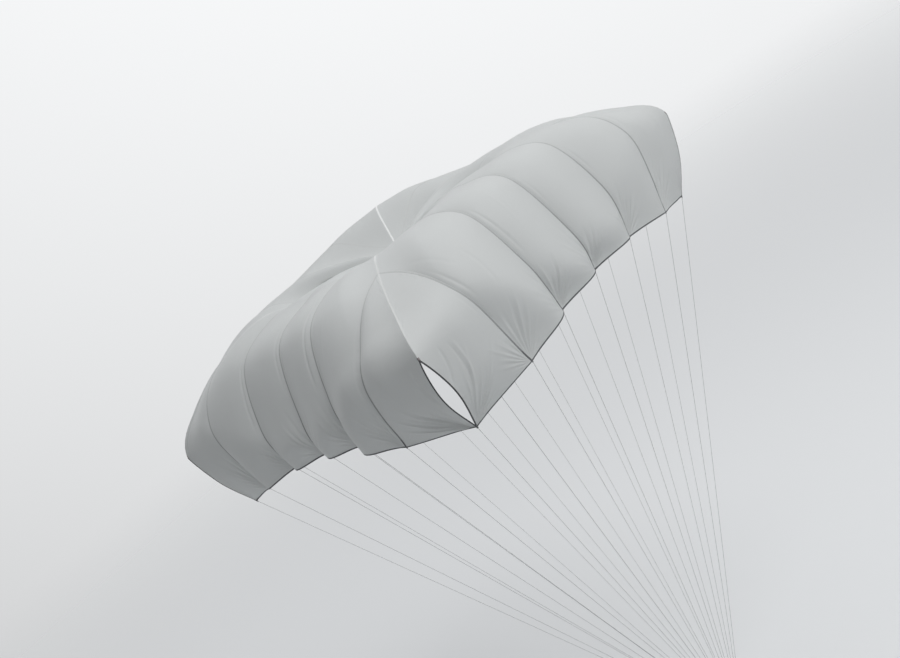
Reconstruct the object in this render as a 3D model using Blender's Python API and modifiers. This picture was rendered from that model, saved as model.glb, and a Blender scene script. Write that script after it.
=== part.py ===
"""Reserve parachute: a square canopy of 24 gores, open below, flown on 24 suspension lines.

Metres, +Z up along the canopy's axis. The origin is where the riser loop bears on what holds it.
The canopy has four equal sides. Each side has a front: side 0 faces -Y, and the others follow
counter-clockwise, a quarter turn at a time. A place on a side is given by two shares of the cloth:
  across  from -1 at the corner on the left to +1 at the corner on the right, seen from outside
  reach   from 0 at the crown's centre to 1 at the hem
and a side is the wedge where abs(across) is no more than reach.
"""
import math

import bmesh
import bpy
from mathutils import Matrix, Vector

# ---- driving dimensions ------------------------------------------------------------------------
LINE_LENGTH = 5.60          # every suspension line, from where they all aim to the hem
LINE_DIAMETER = 0.0024
CENTRE_LINE_DIAMETER = 0.0032
LINE_END_GAP = 0.0009       # from a hem's attachment to the end of its line
AIM_HEIGHT = 0.120          # the point that all lines aim at, above the riser's bearing

GORES_PER_SIDE = 6
CLOTH = 0.0010              # thickness of a gore's sheet
SEAM_INSET = 0.0009         # a gore's edge stops this far short of its seam
DIAGONAL_INSET = 0.0010     # and this far short of a diagonal, where two sides fold together
TOUCH = 0.0003              # clearance that touching pieces keep

SLOT_TOP = 0.905            # reach at which each corner's slot starts; it runs down to the hem
SLOT_HALF_WIDTH = 0.030     # widest opening of a slot on each side of the diagonal, as a share
BINDING_END = 0.62          # the binding stops this share of a facet short of the slot's ends
BINDING_TURN_STEPS = 4
BINDING_RADIUS = 0.0025

TAPE_WIDTH = 0.018          # crown tape along each diagonal
TAPE_THICKNESS = 0.0008
TAPE_CLEARANCE = 0.0008     # from the cloth under it
TAPE_CROSSING_RISE = 0.0016 # the second tape passes this much higher where it crosses the first

KNOT_RADIUS = 0.0165        # bound knot that gathers the lines
KNOT_HEIGHT = 0.040
KNOT_EDGE = 0.004
LINE_RING_RADIUS = 0.0125   # the lines enter the knot on this circle
RISER_WIDTH = 0.025         # webbing of the riser loop
RISER_THICKNESS = 0.0030
RISER_EYE_RADIUS = 0.016    # inside radius of the loop's eye
RISER_HEIGHT = 0.110        # top of its legs, above its bearing
KNOT_BASE = 0.1107          # underside of the knot
RISER_ARC_STEPS = 16

ACROSS_STEPS = 4            # facets across a gore
REACH_STEPS = 14            # facets from hem to diagonal
HALF = GORES_PER_SIDE // 2
INNER_END = (HALF - 1) / HALF   # where a corner gore's tip meets the diagonal

# Section through the middle of a side, and along a diagonal: how far the cloth stands from the
# axis, square to the side, and its height above the point that the lines aim at.
SIDE_SECTION = (            # reach, out, height
    (0.00, 0.000, 6.170),
    (0.17, 0.405, 6.290),
    (0.34, 0.815, 6.375),
    (0.52, 1.210, 6.385),
    (0.70, 1.715, 6.235),
    (0.86, 1.975, 5.560),
    (1.00, 1.970, 5.243),
)
CORNER_SECTION = (          # reach, out, height, spread of the side's seams
    (0.000, 0.000, 6.170, 0.000),
    (0.170, 0.170, 6.110, 0.170),
    (0.340, 0.430, 6.060, 0.430),
    (0.520, 0.890, 6.390, 0.890),
    (0.700, 1.390, 6.285, 1.390),
    (0.820, 1.740, 6.060, 1.660),
    (0.905, 1.975, 5.785, 1.760),
    (0.950, 1.945, 5.400, 1.770),
    (1.000, 1.775, 5.005, 1.775),
)
# No side or corner flies quite like the next: what each adds at its crest and at its hem.
SIDES = (                   # crest lift, crest out, hem out
    (0.000, 0.075, 0.015),
    (-0.050, 0.025, 0.010),
    (0.045, -0.020, 0.015),
    (-0.020, -0.090, -0.035),
)
CORNERS = (                 # crest lift, crest out, hem out
    (-0.020, -0.055, -0.025),
    (-0.075, 0.030, 0.000),
    (0.150, -0.135, 0.015),
    (0.010, 0.045, 0.050),
)
# How far a gore billows out between its seams, and how full each gore is beside that.
BILLOW = (                  # reach, rise
    (0.00, 0.010),
    (0.35, 0.026),
    (0.60, 0.050),
    (0.85, 0.086),
    (1.00, 0.080),
)
FULLNESS = (                # one row a side, one column a gore, from left to right
    (0.8, 1.1, 1.0, 1.0, 0.9, 0.8),
    (0.9, 1.0, 1.1, 0.9, 1.0, 0.8),
    (0.9, 1.1, 1.0, 1.0, 1.1, 0.9),
    (0.8, 1.0, 1.0, 1.1, 1.2, 0.9),
)
BILLOW_ROUNDNESS = 0.75     # under 1 the billow is full beside the seams
DIAGONAL_FADE = 0.15        # billows die out over this share beside a diagonal
OUT_BLEND = 3.1             # how late the side turns in to the diagonal, at the crown
HEM_BLEND = 13.0            # and towards the hem, which cuts the corner straight in the last gore
CORNER_BLEND = 6.0          # how late along a side its corner reaches beyond its seams' spread
HEIGHT_BLEND = 0.5          # how much sooner than a parabola a side falls to the diagonal
CREST_BUNCH = -0.10         # seams draw towards the middle of a side at the crest
HEM_BUNCH = -0.015


def smooth_step(x):
    x = min(1.0, max(0.0, x))
    return x * x * (3 - 2 * x)


def along(rows, column, reach, mirror):
    """Smooth curve through a table's rows; mirror is +1 or -1, how it carries on past the centre."""
    xs = [-rows[1][0]] + [r[0] for r in rows]
    ys = [mirror * rows[1][column]] + [r[column] for r in rows]
    last = len(xs) - 1
    i = 1
    while i < last - 1 and reach > xs[i + 1]:
        i += 1

    def slope(k):
        a, b = max(k - 1, 0), min(k + 1, last)
        return (ys[b] - ys[a]) / (xs[b] - xs[a])

    h = xs[i + 1] - xs[i]
    t = (reach - xs[i]) / h
    return (ys[i] * (1 + 2 * t) * (1 - t) ** 2 + ys[i + 1] * t * t * (3 - 2 * t)
            + h * (slope(i) * t * (1 - t) ** 2 - slope(i + 1) * t * t * (1 - t)))


def straight(rows, reach):
    """Value of a two-column table between its rows."""
    for (x0, y0), (x1, y1) in zip(rows, rows[1:]):
        if reach <= x1:
            return y0 + (y1 - y0) * (reach - x0) / (x1 - x0)
    return rows[-1][1]


def taut_skin(side, across, reach):
    """A point of the canopy before its gores billow: along the side, out from the axis, height."""
    share = max(-1.0, min(1.0, across / max(reach, 1e-6)))
    side_row = SIDES[side]
    corner_row = CORNERS[side] if share < 0 else CORNERS[(side + 1) % 4]
    crest = math.sin(math.pi * min(reach, 1.0)) ** 2
    hem = max(0.0, (reach - 0.6) / 0.4) ** 2
    side_out = along(SIDE_SECTION, 1, reach, -1) + side_row[1] * crest + side_row[2] * hem
    side_up = along(SIDE_SECTION, 2, reach, 1) + side_row[0] * crest
    corner_out = along(CORNER_SECTION, 1, reach, -1) + corner_row[1] * crest + corner_row[2] * hem
    corner_up = along(CORNER_SECTION, 2, reach, 1) + corner_row[0] * crest
    spread = along(CORNER_SECTION, 3, reach, -1) + corner_row[1] * crest + corner_row[2] * hem
    late = reach ** 6
    turn = abs(share) ** (OUT_BLEND + (HEM_BLEND - OUT_BLEND) * late)
    chord = max(0.0, HALF * abs(share) - HALF + 1)
    turn += (chord - turn) * late * late
    fall = share * share * (1 + HEIGHT_BLEND * (1 - share * share))
    bunch = 1 + (CREST_BUNCH + (HEM_BUNCH - CREST_BUNCH) * late) * (1 - share * share)
    corner_reach = (corner_out - spread) * abs(share) ** CORNER_BLEND
    return Vector((share * (spread * bunch + corner_reach),
                   side_out + (corner_out - side_out) * turn,
                   side_up + (corner_up - side_up) * fall))


def hung_skin(side, across, reach):
    """The taut skin, with its hem drawn to the height that lines of one length give it."""
    p = taut_skin(side, across, reach)
    hem_edge = taut_skin(side, across / max(reach, 1e-6), 1.0)
    level = math.sqrt(LINE_LENGTH ** 2 - hem_edge.x ** 2 - hem_edge.y ** 2)
    p.z += (level - hem_edge.z) * smooth_step((reach - SLOT_TOP + 0.1) / (1.1 - SLOT_TOP))
    return p


def billow(side, across, reach):
    """How far the cloth stands off the taut skin at a point."""
    gore_place = (across + 1) * GORES_PER_SIDE / 2
    gore = min(GORES_PER_SIDE - 1, int(gore_place))
    lump = max(0.0, math.sin(math.pi * (gore_place - gore))) ** BILLOW_ROUNDNESS
    fade = smooth_step((reach - abs(across)) / DIAGONAL_FADE)
    return straight(BILLOW, reach) * FULLNESS[side][gore] * lump * fade


def canopy_point(side, across, reach):
    """A point of the billowed canopy in the part's frame."""
    p = hung_skin(side, across, reach)
    step = 0.002
    run = hung_skin(side, across + step, reach) - hung_skin(side, across - step, reach)
    rise = hung_skin(side, across, reach - step) - hung_skin(side, across, min(reach + step, 1.0))
    outward = run.cross(rise)
    if outward.y + outward.z < 0:
        outward.negate()
    p += outward.normalized() * billow(side, across, reach)
    place = Vector((p.x, -p.y, p.z + AIM_HEIGHT))
    return Matrix.Rotation(side * math.pi / 2, 3, 'Z') @ place


def slot_edge(reach):
    """Share across at which a corner gore ends: on the diagonal, or at the slot's edge."""
    if reach <= SLOT_TOP:
        return reach
    down = (reach - SLOT_TOP) / (1 - SLOT_TOP)
    return reach - SLOT_HALF_WIDTH * math.sin(math.pi * down)


# ---- scene helpers -----------------------------------------------------------------------------
def material(name, colour, roughness):
    m = bpy.data.materials.new(name)
    m.use_nodes = True
    shader = m.node_tree.nodes["Principled BSDF"]
    shader.inputs["Base Color"].default_value = (*colour, 1)
    shader.inputs["Roughness"].default_value = roughness
    return m


def new_object(name, data, mat, collection):
    o = bpy.data.objects.new(name, data)
    data.materials.append(mat)
    collection.objects.link(o)
    return o


def grid_object(name, points, mat, collection, thickness, lift=0.0):
    """A sheet through a grid of points, lifted off them, and given its thickness."""
    rows, columns = len(points), len(points[0])
    bm = bmesh.new()
    bmesh.ops.create_grid(bm, x_segments=columns - 1, y_segments=rows - 1, size=1)
    order = sorted(bm.verts, key=lambda v: (round(v.co.y, 5), round(v.co.x, 5)))
    for i, v in enumerate(order):
        v.co = points[i // columns][i % columns]
    bmesh.ops.remove_doubles(bm, verts=bm.verts, dist=0.0001)
    bmesh.ops.triangulate(bm, faces=bm.faces, quad_method='SHORT_EDGE')
    bm.normal_update()
    places = [v.co + v.normal * lift * v.calc_shell_factor() for v in bm.verts]
    for v, place in zip(bm.verts, places):
        v.co = place
    mesh = bpy.data.meshes.new(name)
    bm.to_mesh(mesh)
    bm.free()
    mesh.shade_smooth()
    o = new_object(name, mesh, mat, collection)
    shell = o.modifiers.new("cloth", 'SOLIDIFY')
    shell.thickness = thickness
    shell.offset = 0
    shell.use_even_offset = False
    return o


def tube_object(name, points, radius, mat, collection, resolution):
    """A round cord through points, with closed ends."""
    curve = bpy.data.curves.new(name, 'CURVE')
    curve.dimensions = '3D'
    curve.bevel_depth = radius
    curve.bevel_resolution = resolution
    curve.use_fill_caps = True
    spline = curve.splines.new('POLY')
    spline.points.add(len(points) - 1)
    for target, p in zip(spline.points, points):
        target.co = (*p, 1)
    return new_object(name, curve, mat, collection)


# ---- cloth -------------------------------------------------------------------------------------
def toward(point, neighbour, distance):
    return point + (neighbour - point).normalized() * distance


def corner_gore_reach(up):
    """Reach of a corner gore's row: half of its rows lie beside the slot."""
    if up <= 0.5:
        return 1 - (1 - SLOT_TOP) * 2 * up
    return SLOT_TOP - (SLOT_TOP - INNER_END) * (2 * up - 1)


def gore_points(side, gore):
    """Grid of points over one gore: rows from the hem up, columns from its seam nearest mid-side."""
    from_middle = gore - HALF if gore >= HALF else HALF - 1 - gore
    sign = 1 if gore >= HALF else -1
    near, far = from_middle / HALF, (from_middle + 1) / HALF
    corner = from_middle == HALF - 1
    points = []
    for j in range(REACH_STEPS + 1):
        up = j / REACH_STEPS
        row = []
        for i in range(ACROSS_STEPS + 1):
            part = i / ACROSS_STEPS
            if corner:
                reach = corner_gore_reach(up)
                across = near + part * (slot_edge(reach) - near)
            else:
                across = near + part * (far - near)
                reach = 1 - up * (1 - across)
            row.append(canopy_point(side, sign * across, reach))
        points.append(row)
    return points, corner


def draw_in(points, corner):
    """Pull a gore's sewn edges a hair off its seams and the diagonal, so that no two pieces touch."""
    inset = [[p.copy() for p in row] for row in points]
    for j, row in enumerate(points):
        inset[j][0] = toward(row[0], row[1], SEAM_INSET)
        inset[j][-1] = toward(row[-1], row[-2], DIAGONAL_INSET if corner else SEAM_INSET)
    if corner:
        inset[-1] = [toward(p, points[-2][1], 2 * DIAGONAL_INSET) for p in points[-1]]
    else:
        inset[-1] = [toward(p, q, DIAGONAL_INSET) for p, q in zip(inset[-1], points[-2])]
    return inset


def make_gores(mat, collection):
    for side in range(4):
        for gore in range(GORES_PER_SIDE):
            name = f"gore_{side * GORES_PER_SIDE + gore + 1:02d}"
            grid_object(name, draw_in(*gore_points(side, gore)), mat, collection, CLOTH)


def diagonal_point(corner, reach):
    return canopy_point(corner % 4, -reach, reach)


def tape_stations():
    """Where the gores' facets meet a diagonal, outward from the centre to the top of the slot.

    With each reach comes that of the facets' two next points beside it, as across and reach.
    """
    inner = [k / (HALF * ACROSS_STEPS) for k in range((HALF - 1) * ACROSS_STEPS + 1)]
    stations = []
    for before, here in zip(inner, inner[1:]):
        stations.append((here, [(r, r + (1 - r) / REACH_STEPS) for r in (before, here)]))
    outer = [corner_gore_reach(1 - k / REACH_STEPS) for k in range(1, REACH_STEPS // 2 + 1)]
    for here, after in zip(outer, outer[1:] + [SLOT_TOP]):
        beside = [(r - (r - INNER_END) / ACROSS_STEPS, r) for r in (here, after)]
        stations.append((here, beside))
    return stations


def tape_edge(spot, heading, neighbour):
    """Where a facet's fold line passes under the tape's edge."""
    away = (neighbour - spot).normalized()
    return spot + away * TAPE_WIDTH / 2 / away.cross(heading).length


def tape_half(corner):
    """Rows of a crown tape from beside the centre out to the top of a corner's slot."""
    left, right = corner % 4, (corner + 3) % 4
    before = diagonal_point(corner, 0.0)
    rows = []
    for reach, beside in tape_stations():
        spot = diagonal_point(corner, reach)
        heading = (spot - before).normalized()
        before = spot
        for across, level in beside:
            rows.append([tape_edge(spot, heading, canopy_point(left, -across, level)), spot,
                         tape_edge(spot, heading, canopy_point(right, across, level))])
    return rows


def tape_centre(corner, rise):
    """Rows where the tape passes the centre, from the half behind to the half towards a corner."""
    centre = diagonal_point(0, 0.0)
    up = Vector((0, 0, rise))
    reach = 1 / (HALF * ACROSS_STEPS)
    heading = (diagonal_point(corner, reach) - diagonal_point(corner + 2, reach)).normalized()
    left = [canopy_point((corner + 1) % 4, 0.0, 1 / REACH_STEPS), diagonal_point(corner + 1, reach),
            canopy_point(corner % 4, 0.0, 1 / REACH_STEPS)]
    right = [canopy_point((corner + 2) % 4, 0.0, 1 / REACH_STEPS), diagonal_point(corner + 3, reach),
             canopy_point((corner + 3) % 4, 0.0, 1 / REACH_STEPS)]
    return [[tape_edge(centre, heading, p) + up, centre + up, tape_edge(centre, heading, q) + up]
            for p, q in zip(left, right)]


def make_crown_tapes(mat, collection):
    """Two tapes over the crown, each from slot to slot along two diagonals, crossing at the centre."""
    for n in range(2):
        behind = [row[::-1] for row in reversed(tape_half(n + 2))]
        rows = behind + tape_centre(n, n * TAPE_CROSSING_RISE) + tape_half(n)
        lift = (CLOTH + TAPE_THICKNESS) / 2 + TAPE_CLEARANCE
        grid_object(f"crown_tape_{n + 1}", rows, mat, collection, TAPE_THICKNESS, lift)


def slot_sides(corner):
    """The two edges of a corner's slot, as its gores' facets have them, from the hem to the top."""
    edges = []
    for side, sign in ((corner, -1), ((corner + 3) % 4, 1)):
        gore = 0 if sign < 0 else GORES_PER_SIDE - 1
        points = draw_in(*gore_points(side, gore))
        edges.append([row[-1] for row in points[:REACH_STEPS // 2 + 1]])
    return edges


def turn_between(legs):
    """Points of the round turn that joins two converging legs at their upper ends."""
    middle = (legs[0][-1] + legs[1][-1]) / 2
    aside = legs[0][-1] - middle
    lean = legs[0][-1] - legs[0][-2]
    up = (lean + legs[1][-1] - legs[1][-2]).normalized()
    slant = -math.atan2(lean.dot(aside.normalized()), lean.dot(up))
    centre = middle - up * aside.length * math.tan(slant)
    across = aside / math.cos(slant)
    above = up * across.length
    angles = [slant + (math.pi - 2 * slant) * k / BINDING_TURN_STEPS for k in range(1, BINDING_TURN_STEPS)]
    return [centre + across * math.cos(a) + above * math.sin(a) for a in angles]


def make_slot_bindings(mat, collection):
    """A bound edge inside each corner's slot: up one side, round the top and down the other."""
    inset = 2 * TOUCH + BINDING_RADIUS
    for corner in range(4):
        edges = slot_sides(corner)
        for edge in edges:
            edge[0] = edge[0].lerp(edge[1], BINDING_END)
            edge[-1] = edge[-1].lerp(edge[-2], BINDING_END)
        legs = [[toward(p, q, inset) for p, q in zip(near, far)] for near, far in (edges, edges[::-1])]
        path = legs[0] + turn_between(legs) + legs[1][::-1]
        tube_object(f"slot_binding_{corner + 1}", path, BINDING_RADIUS, mat, collection, 1)


# ---- lines, knot and riser ---------------------------------------------------------------------
def make_lines(mat, collection):
    foot_height = KNOT_BASE + KNOT_HEIGHT + 2 * TOUCH
    number = 0
    for side in range(4):
        for k in range(GORES_PER_SIDE):
            number += 1
            end = canopy_point(side, (k - HALF) / HALF, 1.0)
            bearing = math.atan2(end.y, end.x)
            foot = Vector((LINE_RING_RADIUS * math.cos(bearing), LINE_RING_RADIUS * math.sin(bearing),
                           foot_height))
            tube_object(f"line_{number:02d}", [foot, toward(end, foot, LINE_END_GAP)],
                        LINE_DIAMETER / 2, mat, collection, 2)
    top = diagonal_point(0, 0.0)
    foot = Vector((0, 0, foot_height))
    tube_object("centre_line", [foot, toward(top, foot, CLOTH / 2 + TOUCH)],
                CENTRE_LINE_DIAMETER / 2, mat, collection, 2)


def make_knot(mat, collection):
    bm = bmesh.new()
    bmesh.ops.create_cone(bm, cap_ends=True, segments=24, radius1=KNOT_RADIUS, radius2=KNOT_RADIUS,
                          depth=KNOT_HEIGHT)
    mesh = bpy.data.meshes.new("line_knot")
    bm.to_mesh(mesh)
    bm.free()
    mesh.shade_smooth()
    mesh.set_sharp_from_angle(angle=math.radians(50))
    o = new_object("line_knot", mesh, mat, collection)
    o.location.z = KNOT_BASE + KNOT_HEIGHT / 2
    edge = o.modifiers.new("edge", 'BEVEL')
    edge.width = KNOT_EDGE
    edge.segments = 2
    edge.limit_method = 'ANGLE'


def make_riser(mat, collection):
    """A webbing loop: two legs side by side under the knot, opening into a round eye."""
    middle = RISER_EYE_RADIUS + RISER_THICKNESS / 2
    leg = RISER_THICKNESS / 2 + TOUCH
    centre_height = RISER_EYE_RADIUS
    tall = RISER_HEIGHT - centre_height
    reach = math.hypot(leg, tall)
    tangent = math.acos(middle / reach) + math.atan2(leg, tall)
    path = [(leg, RISER_HEIGHT)]
    for k in range(RISER_ARC_STEPS + 1):
        angle = tangent + (2 * math.pi - 2 * tangent) * k / RISER_ARC_STEPS
        path.append((middle * math.sin(angle), centre_height + middle * math.cos(angle)))
    path.append((-leg, RISER_HEIGHT))
    half = RISER_WIDTH / 2
    rows = [[Vector((x, -half, z)), Vector((x, half, z))] for x, z in path]
    o = grid_object("riser_loop", rows, mat, collection, RISER_THICKNESS)
    o.modifiers["cloth"].use_even_offset = True


def main():
    for o in list(bpy.data.objects):
        bpy.data.objects.remove(o, do_unlink=True)
    collection = bpy.data.collections.new("reserve_parachute")
    bpy.context.scene.collection.children.link(collection)
    cloth = material("ripstop cloth", (0.62, 0.64, 0.63), 0.55)
    tape = material("white tape", (0.86, 0.87, 0.86), 0.6)
    binding = material("grey binding", (0.10, 0.11, 0.12), 0.7)
    line = material("grey line", (0.16, 0.17, 0.19), 0.6)
    webbing = material("black webbing", (0.03, 0.03, 0.035), 0.75)
    make_gores(cloth, collection)
    make_crown_tapes(tape, collection)
    make_slot_bindings(binding, collection)
    make_lines(line, collection)
    make_knot(line, collection)
    make_riser(webbing, collection)


main()
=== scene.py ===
# %% [markdown]
# # Reserve parachute
# A reserve parachute is a person's emergency canopy: a low, square cap of thin cloth that opens
# fast and comes down gently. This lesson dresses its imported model. The CAD nodes say where
# everything is, and each piece made here lies on the node that it stands for, in the same metres.
#
# The frame is loaded first, and its box is kept, because the finished model may not outgrow it.

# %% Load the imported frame
import math

import bpy
import numpy as np
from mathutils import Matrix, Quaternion, Vector


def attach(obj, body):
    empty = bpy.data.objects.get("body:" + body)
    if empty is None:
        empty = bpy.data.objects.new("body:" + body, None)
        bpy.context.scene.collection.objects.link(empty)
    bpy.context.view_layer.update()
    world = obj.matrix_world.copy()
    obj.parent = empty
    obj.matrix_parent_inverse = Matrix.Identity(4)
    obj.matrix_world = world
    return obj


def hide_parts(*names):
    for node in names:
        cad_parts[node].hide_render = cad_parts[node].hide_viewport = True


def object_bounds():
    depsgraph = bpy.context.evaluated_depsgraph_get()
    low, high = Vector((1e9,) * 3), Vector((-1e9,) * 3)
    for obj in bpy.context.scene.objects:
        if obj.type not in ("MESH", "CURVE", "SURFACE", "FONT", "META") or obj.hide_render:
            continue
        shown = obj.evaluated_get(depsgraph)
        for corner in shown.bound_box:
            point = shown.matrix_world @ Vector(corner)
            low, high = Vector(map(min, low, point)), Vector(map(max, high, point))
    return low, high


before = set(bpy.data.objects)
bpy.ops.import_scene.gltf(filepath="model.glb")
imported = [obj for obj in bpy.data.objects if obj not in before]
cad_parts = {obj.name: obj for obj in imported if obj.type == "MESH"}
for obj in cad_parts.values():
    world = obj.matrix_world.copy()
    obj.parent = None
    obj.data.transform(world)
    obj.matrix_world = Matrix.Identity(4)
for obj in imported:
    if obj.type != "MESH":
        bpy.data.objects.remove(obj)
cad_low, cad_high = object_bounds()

bpy.ops.object.select_all(action="DESELECT")
print("CAD box", [round(v, 3) for v in (*cad_low, *cad_high)], "nodes", len(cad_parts))

# %% [markdown]
# ## Camera
# The canopy flies overhead and leans with the wind, so it is seen from beside its crown, with the
# camera rolled until the lines run down to the right. A camera could be turned by three angles,
# but a place, a point to look at and a roll are easier to picture and to change.

# %% Set up the camera
CAMERA_PLACE = Vector((-6.421, -8.080, 7.404))
CAMERA_AIM = Vector((-0.081, -0.084, 5.405))
CAMERA_ROLL = -36.58         # degrees about the line of sight
CAMERA_LENS = 43.78          # mm on a 36 mm sensor

sight = (CAMERA_AIM - CAMERA_PLACE).to_track_quat("-Z", "Y")
turned = sight @ Quaternion((0, 0, 1), math.radians(CAMERA_ROLL))
bpy.ops.object.camera_add(location=CAMERA_PLACE, rotation=turned.to_euler())
camera = bpy.context.object
camera.name = "camera"
camera.data.lens = CAMERA_LENS
camera.data.clip_end = 300
bpy.context.scene.camera = camera
print("camera", round((CAMERA_AIM - CAMERA_PLACE).length, 2), "m from the canopy")

# %% [markdown]
# ## Materials from nodes
# Every finish below is built from nodes. Four small helpers keep that readable: one adds a node
# and fills its inputs, one adds a step of arithmetic, one starts a finish, and one mixes two
# colours. An input takes either a number or another node's output.

# %% Node helpers
def node(tree, kind, inputs=None, **settings):
    """Add a node, set its options, and fill its inputs with numbers or other nodes' outputs."""
    made = tree.nodes.new(kind)
    for key, value in settings.items():
        setattr(made, key, value)
    for key, value in (inputs or {}).items():
        if isinstance(value, bpy.types.NodeSocket):
            tree.links.new(value, made.inputs[key])
        else:
            made.inputs[key].default_value = value
    return made


def calc(tree, operation, first, second=0.0, third=0.0):
    """One step of arithmetic on numbers or outputs."""
    return node(tree, "ShaderNodeMath", {0: first, 1: second, 2: third},
                operation=operation).outputs[0]


def new_finish(name, colour, roughness):
    """A material with a Principled shader; returns the material, its tree and its shader."""
    finish = bpy.data.materials.new(name)
    finish.use_nodes = True
    tree = finish.node_tree
    shader = tree.nodes["Principled BSDF"]
    shader.inputs["Base Color"].default_value = (*colour, 1)
    shader.inputs["Roughness"].default_value = roughness
    return finish, tree, shader


def tint(tree, factor, first, second):
    """A colour between two, by a factor from 0 to 1."""
    mix = node(tree, "ShaderNodeMix", {0: factor}, data_type="RGBA")
    for slot, colour in ((6, first), (7, second)):
        if isinstance(colour, bpy.types.NodeSocket):
            tree.links.new(colour, mix.inputs[slot])
        else:
            mix.inputs[slot].default_value = (*colour, 1)
    return mix.outputs[2]


# %% [markdown]
# ## Floor, air and light
# The canopy has no ground of its own: it hangs above a plain pale floor, which fades out before
# its edge could show. The air is a soft studio sky, brightest high on the far right, and a large
# lamp, high on the near side, grazes the cloth there and shapes its folds. One hard lamp would
# draw black shadows that thin cloth never has.

# %% Floor
FLOOR_RADIUS = 60.0
FLOOR_FADE = (9.0, 45.0)     # metres from the middle where the floor starts and ends its fade
FLOOR_DROP = 0.004           # under the lowest point of the riser

bpy.ops.mesh.primitive_circle_add(vertices=96, radius=FLOOR_RADIUS, fill_type="NGON",
                                  location=(0, 0, cad_low.z - FLOOR_DROP))
floor = bpy.context.object
floor.name = "floor"
floor_finish, tree, shader = new_finish("pale floor", (0.80, 0.81, 0.82), 0.9)
place = node(tree, "ShaderNodeTexCoord").outputs["Object"]
from_middle = node(tree, "ShaderNodeVectorMath", {0: place}, operation="LENGTH").outputs["Value"]
fade = node(tree, "ShaderNodeMapRange", {0: from_middle, 1: FLOOR_FADE[0], 2: FLOOR_FADE[1]},
            interpolation_type="SMOOTHSTEP").outputs[0]
clear = node(tree, "ShaderNodeBsdfTransparent").outputs[0]
veil = node(tree, "ShaderNodeMixShader", {0: fade, 1: shader.outputs[0], 2: clear})
tree.links.new(veil.outputs[0], tree.nodes["Material Output"].inputs["Surface"])
floor.data.materials.append(floor_finish)

# %% Air and lamp
BRIGHT_SIDE = Vector((0.74, 0.28, 0.61)).normalized()    # where the air is brightest
AIR_DIM, AIR_BRIGHT = (0.03, 0.032, 0.034), (1.05, 1.06, 1.07)
AIR_DIM_AT = -0.77           # cosine from the bright side where the air is at its dimmest
LAMP_SIDE = Vector((0.02, -0.70, 0.71)).normalized()     # it grazes the near side's folds
LAMP_AIM = Vector((0, 0, 5.5))
LAMP_DISTANCE, LAMP_SIZE, LAMP_POWER = 16.0, 8.0, 1075

world = bpy.data.worlds.new("studio air")
bpy.context.scene.world = world
world.use_nodes = True
tree = world.node_tree
heading = node(tree, "ShaderNodeTexCoord").outputs["Generated"]
towards = node(tree, "ShaderNodeVectorMath", {0: heading, 1: BRIGHT_SIDE}, operation="DOT_PRODUCT")
glow = node(tree, "ShaderNodeMapRange",
            {0: towards.outputs["Value"], 1: AIR_DIM_AT, 2: 1.0}).outputs[0]
tree.links.new(tint(tree, glow, AIR_DIM, AIR_BRIGHT), tree.nodes["Background"].inputs["Color"])

bpy.ops.object.light_add(type="AREA", location=LAMP_AIM + LAMP_SIDE * LAMP_DISTANCE,
                         rotation=LAMP_SIDE.to_track_quat("Z", "Y").to_euler())
lamp = bpy.context.object
lamp.name = "lamp"
lamp.data.size = LAMP_SIZE
lamp.data.energy = LAMP_POWER
bpy.context.scene.view_settings.view_transform = "Standard"

# %% [markdown]
# ## The shape of the cloth
# All the cloth hangs on one formula. A place on it is a side from 0 to 3 and two shares: across,
# from -1 at the side's left corner to +1 at its right one, and reach, from 0 at the crown's
# centre to 1 at the hem. Two sections, one up the middle of a side and one along a diagonal, are
# blended across the side, the hem is drawn to the height that lines of one length give it, and
# each gore then billows between its seams. A cloth simulation could find a similar shape, but it
# would not be this canopy's: every fold would land somewhere new. The two sections and the sizes
# repeat the part's own design. The tables after them set each side, corner, seam's foot and
# billow.

# %% Dimensions of the canopy
LINE_LENGTH = 5.60           # every suspension line, from where they all aim to the hem
LINE_DIAMETER = 0.0024
CENTRE_LINE_DIAMETER = 0.0032
AIM_HEIGHT = 0.120           # the point that all lines aim at
LINE_RING_RADIUS = 0.0125    # the lines enter the knot on this circle
KNOT_TOP = 0.1507
GORES = 6                    # on each side
HALF = GORES // 2
NEAR_RIGHT, NEAR_LEFT = 0, 3 # the two sides that the camera faces
INNER_END = (HALF - 1) / HALF
SLOT_TOP = 0.905             # reach at which each corner's slot starts
SLOT_WIDTH = {-1: 0.024, 1: 0.022}   # its opening into a side's left and right gores, a share
SLOT_OPEN = 0.912            # reach at which it is open, below its bound and tacked top
CLOTH = 0.0010

SIDE_SECTION = np.array([    # reach, out, height
    (0.00, 0.000, 6.170),
    (0.17, 0.405, 6.290),
    (0.34, 0.815, 6.375),
    (0.52, 1.210, 6.385),
    (0.70, 1.715, 6.235),
    (0.86, 1.975, 5.560),
    (1.00, 1.970, 5.243),
])
CORNER_SECTION = np.array([  # reach, out, height, spread of the side's seams
    (0.000, 0.000, 6.170, 0.000),
    (0.170, 0.170, 6.110, 0.170),
    (0.340, 0.430, 6.060, 0.430),
    (0.520, 0.890, 6.390, 0.890),
    (0.700, 1.390, 6.285, 1.390),
    (0.820, 1.740, 6.060, 1.660),
    (0.905, 1.975, 5.785, 1.760),
    (0.950, 1.945, 5.400, 1.770),
    (1.000, 1.775, 5.005, 1.775),
])
SIDES = np.array([           # crest lift, crest out, hem out, slide of the middle seams there
    (0.000, 0.075, 0.015, 0.00),
    (-0.050, 0.025, 0.010, 0.00),
    (0.045, -0.020, 0.015, 0.34),
    (-0.020, -0.090, -0.035, 0.00),
])
CORNERS = np.array([         # crest lift, crest out, hem out
    (-0.020, -0.055, -0.025),
    (-0.055, 0.030, -0.010),
    (0.150, -0.135, 0.015),
    (0.010, 0.045, 0.050),
])
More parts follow.
